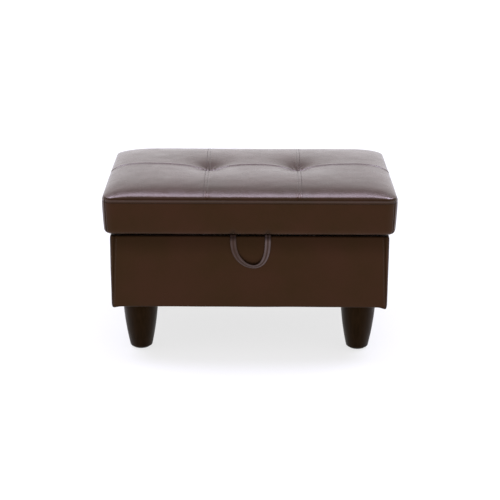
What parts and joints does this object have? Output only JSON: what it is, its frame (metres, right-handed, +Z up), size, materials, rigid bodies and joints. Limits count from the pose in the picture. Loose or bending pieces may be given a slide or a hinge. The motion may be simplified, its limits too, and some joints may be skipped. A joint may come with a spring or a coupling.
{
  "type": "storage ottoman",
  "caption": "Upholstered storage ottoman: padded tufted lid on rear hinges with folding stays, a strap pull loop, a lined box and turned legs.",
  "frame": {"origin": "on the floor under the middle of the whole object, lid shut", "axes": "+X to the right along the width, front towards -Y, +Z up"},
  "size_m": [0.84, 0.5683, 0.508],
  "materials": {
    "leather": "semi-gloss, fine pebble grain",
    "ply": "raw plywood",
    "foam": "open-cell foam and wadding",
    "lining_cloth": "matt non-woven cloth",
    "leg_wood": "dark stain under satin lacquer",
    "zinc_steel": "bright zinc",
    "black_steel": "black powder coat",
    "hinge_steel": "antique steel",
    "glide_plastic": "moulded, satin",
    "twine": "waxed twine"
  },
  "bodies": {
    "base": {"back_panel": "ply", "base_cover_back": "leather", "base_cover_front": "leather", "base_cover_left": "leather", "base_cover_right": "leather", "base_padding": "foam", "base_screws": "zinc_steel", "bottom_panel": "ply", "corner_block_front_left": "ply", "corner_block_front_right": "ply", "corner_block_rear_left": "ply", "corner_block_rear_right": "ply", "dust_cover": "lining_cloth", "front_panel": "ply", "hinge_base_leaves": "hinge_steel", "hinge_pins": "hinge_steel", "left_panel": "ply", "leg_bolts": "zinc_steel", "leg_front_left": "leg_wood", "leg_front_right": "leg_wood", "leg_glides": "glide_plastic", "leg_plates": "black_steel", "leg_rear_left": "leg_wood", "leg_rear_right": "leg_wood", "right_panel": "ply", "stay_wall_plate_left": "hinge_steel", "stay_wall_plate_right": "hinge_steel", "stay_wall_rivets": "hinge_steel", "storage_lining": "lining_cloth"},
    "lid": {"boxing_back": "leather", "boxing_front": "leather", "boxing_left": "leather", "boxing_right": "leather", "hinge_lid_leaves": "hinge_steel", "lid_board": "ply", "lid_foam": "foam", "lid_lining": "lining_cloth", "lid_screws": "zinc_steel", "lid_wadding": "foam", "pull_strap_tails": "leather", "stay_lid_bracket_left": "hinge_steel", "stay_lid_bracket_right": "hinge_steel", "stay_lid_rivets": "hinge_steel", "top_panel_front_left": "leather", "top_panel_front_middle": "leather", "top_panel_front_right": "leather", "top_panel_rear_left": "leather", "top_panel_rear_middle": "leather", "top_panel_rear_right": "leather", "tuft_ties": "twine", "tuft_washers": "zinc_steel"},
    "pull_strap": {"pull_loop": "leather"},
    "stay_lower_left": {"stay_lower_arm_left": "hinge_steel", "stay_elbow_rivet_left": "hinge_steel"},
    "stay_lower_right": {"stay_lower_arm_right": "hinge_steel", "stay_elbow_rivet_right": "hinge_steel"},
    "stay_upper_left": {"stay_upper_arm_left": "hinge_steel"},
    "stay_upper_right": {"stay_upper_arm_right": "hinge_steel"}
  },
  "joints": [
    {"name": "lid_hinge", "type": "hinge", "parent": "base", "child": "lid", "pos_m": [0, 0.2805, 0.369], "axis": [-1, 0, 0], "range_deg": [0, 88]},
    {"name": "pull_fold", "type": "hinge", "parent": "lid", "child": "pull_strap", "pos_m": [0, -0.2685, 0.3707], "axis": [-1, 0, 0], "range_deg": [-44, 0]},
    {"name": "stay_shoulder_left", "type": "hinge", "parent": "base", "child": "stay_lower_left", "pos_m": [-0.374, 0.2085, 0.237], "axis": [-1, 0, 0], "range_deg": [0, 88]},
    {"name": "stay_elbow_left", "type": "hinge", "parent": "stay_lower_left", "child": "stay_upper_left", "pos_m": [-0.374, 0.0505, 0.216], "axis": [-1, 0, 0], "range_deg": [-88, 0]},
    {"name": "stay_shoulder_right", "type": "hinge", "parent": "base", "child": "stay_lower_right", "pos_m": [0.374, 0.2085, 0.237], "axis": [-1, 0, 0], "range_deg": [0, 88]},
    {"name": "stay_elbow_right", "type": "hinge", "parent": "stay_lower_right", "child": "stay_upper_right", "pos_m": [0.374, 0.0505, 0.216], "axis": [-1, 0, 0], "range_deg": [-88, 0]}
  ],
  "couplings": [
    {"joint": "pull_fold", "follows": "lid_hinge", "ratio": -0.5},
    {"joint": "stay_shoulder_left", "follows": "lid_hinge", "ratio": 1},
    {"joint": "stay_elbow_left", "follows": "lid_hinge", "ratio": -1},
    {"joint": "stay_shoulder_right", "follows": "lid_hinge", "ratio": 1},
    {"joint": "stay_elbow_right", "follows": "lid_hinge", "ratio": -1}
  ]
}
